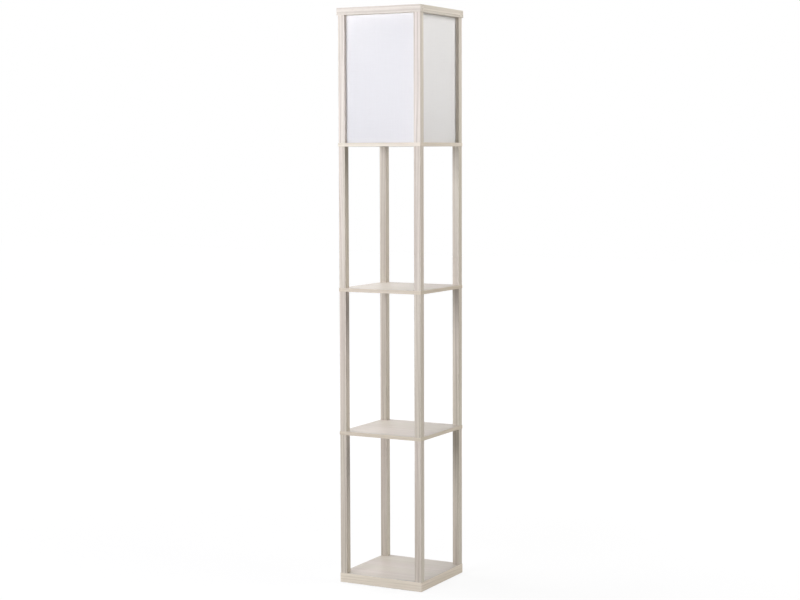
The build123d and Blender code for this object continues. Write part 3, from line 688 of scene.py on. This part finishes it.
# %% Shade panels: the cross-section
HEM_DEPTH = 10.0 * MM
HEM_STEP = 0.45 * MM
HEM_SLOPE = 0.8 * MM
FOLD_RADIUS = 0.6 * MM
FOLD_STEPS = 5
HEIGHT_STEPS = 24


def fold(centre_in, centre_z, start, end):
    """Points round a fold's quarter circle, from one angle to the other, in degrees."""
    points = []
    for step in range(FOLD_STEPS + 1):
        angle = math.radians(start + (end - start) * step / FOLD_STEPS)
        points.append((centre_in - FOLD_RADIUS * math.sin(angle), centre_z + FOLD_RADIUS * math.cos(angle)))
    return points


def panel_section(thickness, low, high):
    """The panel's outline as (depth behind the outer face, height), and which of its sides are film."""
    field = thickness - HEM_STEP
    inner = thickness - FOLD_RADIUS
    straight = high - low - 2 * FOLD_RADIUS
    outside = [(0.0, low + FOLD_RADIUS + straight * i / HEIGHT_STEPS) for i in range(HEIGHT_STEPS + 1)]
    top = fold(FOLD_RADIUS, high - FOLD_RADIUS, 90, 0)[1:] + fold(inner, high - FOLD_RADIUS, 0, -90)
    bottom = fold(inner, low + FOLD_RADIUS, -90, -180) + fold(FOLD_RADIUS, low + FOLD_RADIUS, 180, 90)[:-1]
    hem_high = [(thickness, high - HEM_DEPTH), (field, high - HEM_DEPTH - HEM_SLOPE)]
    hem_low = [(field, low + HEM_DEPTH + HEM_SLOPE), (thickness, low + HEM_DEPTH)]
    step = (hem_high[1][1] - hem_low[0][1]) / HEIGHT_STEPS
    inside = [(field, hem_high[1][1] - step * i) for i in range(1, HEIGHT_STEPS)]
    outline = outside + top + hem_high + inside + hem_low + bottom
    film_from = len(outside) + len(top) + 1
    return outline, range(film_from, film_from + len(inside) + 1)


# %% Helper: a piece from mesh data
def finish_mesh(name, mesh_data, materials, sharp_angle=35.0):
    """Turn mesh data into a piece with smooth curves and crisp corners."""
    mesh = bpy.data.meshes.new(name)
    bmesh.ops.recalc_face_normals(mesh_data, faces=mesh_data.faces)
    mesh_data.to_mesh(mesh)
    mesh_data.free()
    for material in materials:
        mesh.materials.append(material)
    mesh.polygons.foreach_set("use_smooth", [True] * len(mesh.polygons))
    mesh.set_sharp_from_angle(angle=math.radians(sharp_angle))
    piece = bpy.data.objects.new(name, mesh)
    bpy.context.scene.collection.objects.link(piece)
    return piece


# %% Shade panels: pull the section along the width
WIDTH_STEPS = 16
CLOTH_SLOT, FILM_SLOT = 0, 1


def shade_panel(side):
    """A cloth-faced panel in the place of its solid; gives back the size of its cloth when cut flat."""
    low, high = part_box(f"shade_panel_{side}")
    across_x = side in ("front", "back")
    outward = -1 if side in ("front", "left") else 1
    depth_axis = 1 if across_x else 0
    outer = low[depth_axis] if outward < 0 else high[depth_axis]
    thickness = high[depth_axis] - low[depth_axis]
    start, end = (low.x, high.x) if across_x else (low.y, high.y)
    outline, film_sides = panel_section(thickness, low.z, high.z)
    made = bmesh.new()
    rings = []
    for step in range(WIDTH_STEPS + 1):
        along = start + (end - start) * step / WIDTH_STEPS
        ring = []
        for inwards, z in outline:
            deep = outer - outward * inwards
            ring.append(made.verts.new((along, deep, z) if across_x else (deep, along, z)))
        rings.append(ring)
    for ring, following in zip(rings, rings[1:]):
        for i in range(len(ring)):
            j = (i + 1) % len(ring)
            face = made.faces.new((ring[i], ring[j], following[j], following[i]))
            face.material_index = FILM_SLOT if i in film_sides else CLOTH_SLOT
    made.faces.new(rings[0])
    made.faces.new(rings[-1])
    piece = finish_mesh(f"cloth_panel_{side}", made, [shade_cloth, shade_film])
    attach(piece, "frame")
    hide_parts(f"shade_panel_{side}")
    cut = (end - start, high.z - low.z + 2 * (HEM_DEPTH + thickness))
    return cut


for side in ("front", "back", "left", "right"):
    cut = shade_panel(side)
    print(f"cloth of the {side} panel, cut flat: {cut[0] / MM:.1f} x {cut[1] / MM:.1f} mm")

# %% [markdown]
# ## Screw threads rolled in thin metal
#
# The bulb's cap and the shell that it screws into are thin metal cups with a round-crested thread rolled into
# them. A thread could be a coil wrapped round a tube. Rolled metal has no separate coil, though: its wall itself
# waves in and out. So each ring of points gets a radius that depends on its height and on the angle round the axis.
# Both threads use the same wave, which keeps them clear of each other through every turn.

# %% Screw threads
THREAD_RISE = 25.4 / 7.0 * MM
THREAD_DEPTH = 0.65 * MM
THREAD_COLUMNS = 72
ROW_HEIGHT = 0.36 * MM


def thread_radius(crest, z, angle, first, last):
    """Radius of the wavy wall; the thread fades out below first and above last."""
    wave = 0.5 - 0.5 * math.cos(2 * math.pi * z / THREAD_RISE - angle)
    fade_in = min(1.0, max(0.0, (z - first) / THREAD_RISE))
    fade_out = min(1.0, max(0.0, (last - z) / THREAD_RISE))
    return crest - THREAD_DEPTH * wave * (fade_in * fade_out)


def threaded_cup(name, material, foot, top, crest, wall, hole, chamfer, first, last):
    """A thin cup with a hole in its floor, as one closed skin of metal."""
    rows = math.ceil((top - foot - chamfer) / ROW_HEIGHT)
    heights = [foot + chamfer + (top - foot - chamfer) * row / rows for row in range(rows + 1)]
    made = bmesh.new()
    rings = []

    def ring(radius_at, z):
        points = []
        for column in range(THREAD_COLUMNS):
            angle = 2 * math.pi * column / THREAD_COLUMNS
            radius = radius_at(angle)
            points.append(made.verts.new((radius * math.cos(angle), radius * math.sin(angle), z)))
        rings.append(points)

    ring(lambda angle: hole, foot)
    ring(lambda angle: crest - chamfer, foot)
    for z in heights:
        ring(lambda angle: thread_radius(crest, z, angle, first, last), z)
    for z in reversed(heights):
        ring(lambda angle: thread_radius(crest, z, angle, first, last) - wall, z)
    ring(lambda angle: crest - chamfer - wall, foot + wall)
    ring(lambda angle: hole, foot + wall)
    for lower, upper in zip(rings, rings[1:] + rings[:1]):
        for column in range(THREAD_COLUMNS):
            right = (column + 1) % THREAD_COLUMNS
            made.faces.new((lower[column], lower[right], upper[right], upper[column]))
    return finish_mesh(name, made, [material], sharp_angle=50.0)


# %% The bulb's cap
CAP_WALL = 0.4 * MM
CAP_CHAMFER = 1.6 * MM
CAP_PLAIN_FOOT, CAP_PLAIN_COLLAR = 2.0 * MM, 3.5 * MM
GLASS_CLEARANCE = 0.06 * MM

low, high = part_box("bulb_cap")
cap = threaded_cup(
    "threaded_cap", nickel, low.z, high.z, crest=high.x, wall=CAP_WALL,
    hole=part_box("bulb_insulator")[1].x + GLASS_CLEARANCE, chamfer=CAP_CHAMFER,
    first=low.z + CAP_PLAIN_FOOT, last=high.z - CAP_PLAIN_COLLAR,
)
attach(cap, "bulb")
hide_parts("bulb_cap")
print(f"cap: {len(cap.data.polygons)} faces, {2 * high.x / MM:.1f} mm across the thread")

# %% The holder's screw shell
SHELL_WALL = 0.35 * MM
SHELL_CHAMFER = 0.5 * MM
SHELL_HOLE_RADIUS = 8.0 * MM

low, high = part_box("screw_shell")
shell = threaded_cup(
    "threaded_shell", nickel, low.z, high.z, crest=high.x, wall=SHELL_WALL,
    hole=SHELL_HOLE_RADIUS, chamfer=SHELL_CHAMFER, first=low.z, last=high.z,
)
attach(shell, "frame")
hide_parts("screw_shell")
print(f"shell: {len(shell.data.polygons)} faces, {2 * high.x / MM:.1f} mm across")

# %% [markdown]
# ## Floor and surroundings
#
# The lamp stands in a white studio. The floor is a large pale sheet that catches the lamp's soft shadow. It could
# be lit until it looks white, but so much light would burn out the white shade too. So the floor, seen by the
# camera, is lifted close to white, and so is the air round it, while the light that they send on to the lamp stays
# gentle. Light Path tells the two kinds of ray apart.

# %% Floor
FLOOR_HALF = 14.0
FLOOR_COLOUR = (0.60, 0.60, 0.60)
FLOOR_GLOW = 0.80
GLOW_NEAR, GLOW_FAR = 1.09, 1.0 / FLOOR_GLOW
NEAR_DISTANCE, FAR_DISTANCE = 0.6, 4.0


def seen_rays(tree):
    """1 for rays that show the background: straight to the camera, mirrored, or through glass."""
    path = node(tree, "ShaderNodeLightPath").outputs
    seen = calc(tree, "MAXIMUM", path["Is Camera Ray"], path["Is Glossy Ray"])
    return calc(tree, "MAXIMUM", seen, path["Is Transmission Ray"])


def floor_finish():
    material = bpy.data.materials.new("studio_floor")
    material.use_nodes = True
    tree = material.node_tree
    tree.nodes.clear()
    paint = node(tree, "ShaderNodeBsdfDiffuse", {"Color": (*FLOOR_COLOUR, 1.0)})
    away = node(tree, "ShaderNodeVectorMath", {0: body_place(tree)}, operation="LENGTH").outputs["Value"]
    strength = ease(tree, away, NEAR_DISTANCE, FAR_DISTANCE, GLOW_NEAR, GLOW_FAR)
    glow = node(tree, "ShaderNodeEmission", {"Color": (1.0, 1.0, 1.0, 1.0), "Strength": strength})
    share = calc(tree, "MULTIPLY", seen_rays(tree), FLOOR_GLOW)
    both = node(tree, "ShaderNodeMixShader", {0: share, 1: paint.outputs[0], 2: glow.outputs[0]})
    node(tree, "ShaderNodeOutputMaterial", {"Surface": both.outputs[0]})
    return material


floor_data = bmesh.new()
bmesh.ops.create_grid(floor_data, x_segments=8, y_segments=8, size=FLOOR_HALF)
floor = finish_mesh("studio_floor", floor_data, [floor_finish()])
print(f"floor: {2 * FLOOR_HALF:.0f} m square")

# %% Surroundings
SKY_LIGHT = 0.02
world = bpy.data.worlds.new("white_studio")
bpy.context.scene.world = world
world.use_nodes = True
sky = world.node_tree
sky.nodes.clear()
sky_strength = calc(sky, "MULTIPLY_ADD", seen_rays(sky), 1.0 - SKY_LIGHT, SKY_LIGHT)
background = node(sky, "ShaderNodeBackground", {"Color": (1.0, 1.0, 1.0, 1.0), "Strength": sky_strength})
node(sky, "ShaderNodeOutputWorld", {"Surface": background.outputs[0]})
print(f"surroundings: white to look at, {SKY_LIGHT:.0%} of that as light on the lamp")

# %% [markdown]
# ## Lamps
#
# The front faces are brightest, the right ones softer, and the shade glows evenly although its bulb is off. One
# lamp could not do that. So a cool soft box stands near the front for the front faces. A wide, warmer one on the
# right opens the right faces, and because it stands a little behind the lamp, the recesses beside the panels stay
# dark. One high on the left shines in through the open top and fills the shade with light. Two weak ones at the
# back keep those sides readable. Together they stay low enough that nothing pale turns plain white. Point lamps
# would draw hard edges that the photograph doesn't have.


# %% Lamps
def soft_box(name, place, aim, width, power, colour=(1.0, 1.0, 1.0)):
    """A square area lamp at place that points at the lamp's axis, `aim` metres above the floor."""
    light = bpy.data.lights.new(name, "AREA")
    light.shape = "SQUARE"
    light.size = width
    light.energy = power
    light.color = colour
    stand = bpy.data.objects.new(name, light)
    stand.location = place
    stand.rotation_euler = (Vector((0.0, 0.0, aim)) - Vector(place)).to_track_quat("-Z", "Y").to_euler()
    stand.visible_camera = False
    bpy.context.scene.collection.objects.link(stand)
    print(f"{name}: {width} m wide, {power} W")


soft_box("key_soft_box", (-0.60, -2.10, 1.47), aim=1.2, width=1.4, power=44.5, colour=(0.93, 0.93, 1.0))
soft_box("right_soft_box", (2.90, 0.9, 2.95), aim=1.0, width=2.8, power=93.0, colour=(1.0, 0.98, 0.95))
soft_box("left_soft_box", (-1.40, 0.0, 3.90), aim=1.0, width=1.5, power=70.0, colour=(0.985, 0.97, 1.0))
soft_box("back_soft_box", (0.0, 3.00, 2.09), aim=1.0, width=1.6, power=30.0)
soft_box("back_left_soft_box", (-2.13, 2.13, 2.09), aim=1.0, width=1.6, power=10.0)

# %% [markdown]
# ## Camera
#
# The camera stands where the photograph was taken: a little to the right of the front, a bit above half height,
# and far enough away that the posts hardly taper. It could be placed by eye. These numbers were found by matching
# corners of the lamp instead, so its edges fall within a few pixels of where the photograph has them.

# %% Camera
TURN = math.radians(28.12)
DISTANCE = 4.861
EYE_HEIGHT = 1.202
LOOK_DOWN = math.radians(4.30)
ROLL = math.radians(-0.17)
SENSOR_WIDTH = 36.0
FOCAL_PIXELS = 1738.0
PICTURE_WIDTH, PICTURE_HEIGHT = 800, 600
MIDDLE = (401.3, 284.0)
VIEW_END = 100.0

ahead = math.cos(LOOK_DOWN)
forward = Vector((-math.sin(TURN) * ahead, math.cos(TURN) * ahead, -math.sin(LOOK_DOWN)))
level = Vector((math.cos(TURN), math.sin(TURN), 0.0))
upward = level.cross(forward)
right = level * math.cos(ROLL) + upward * math.sin(ROLL)
top = upward * math.cos(ROLL) - level * math.sin(ROLL)

camera_data = bpy.data.cameras.new("photo_camera")
camera_data.sensor_width = SENSOR_WIDTH
camera_data.lens = FOCAL_PIXELS * SENSOR_WIDTH / PICTURE_WIDTH
camera_data.shift_x = (PICTURE_WIDTH / 2 - MIDDLE[0]) / PICTURE_WIDTH
camera_data.shift_y = (MIDDLE[1] - PICTURE_HEIGHT / 2) / PICTURE_WIDTH
camera_data.clip_end = VIEW_END
camera = bpy.data.objects.new("photo_camera", camera_data)
stand_point = Vector((DISTANCE * math.sin(TURN), -DISTANCE * math.cos(TURN), EYE_HEIGHT))
turned = Matrix((right, top, -forward)).transposed()
camera.matrix_world = Matrix.Translation(stand_point) @ turned.to_4x4()
bpy.context.scene.collection.objects.link(camera)
bpy.context.scene.camera = camera
bpy.context.scene.view_settings.view_transform = "Standard"
print(f"lens {camera_data.lens:.1f} mm")
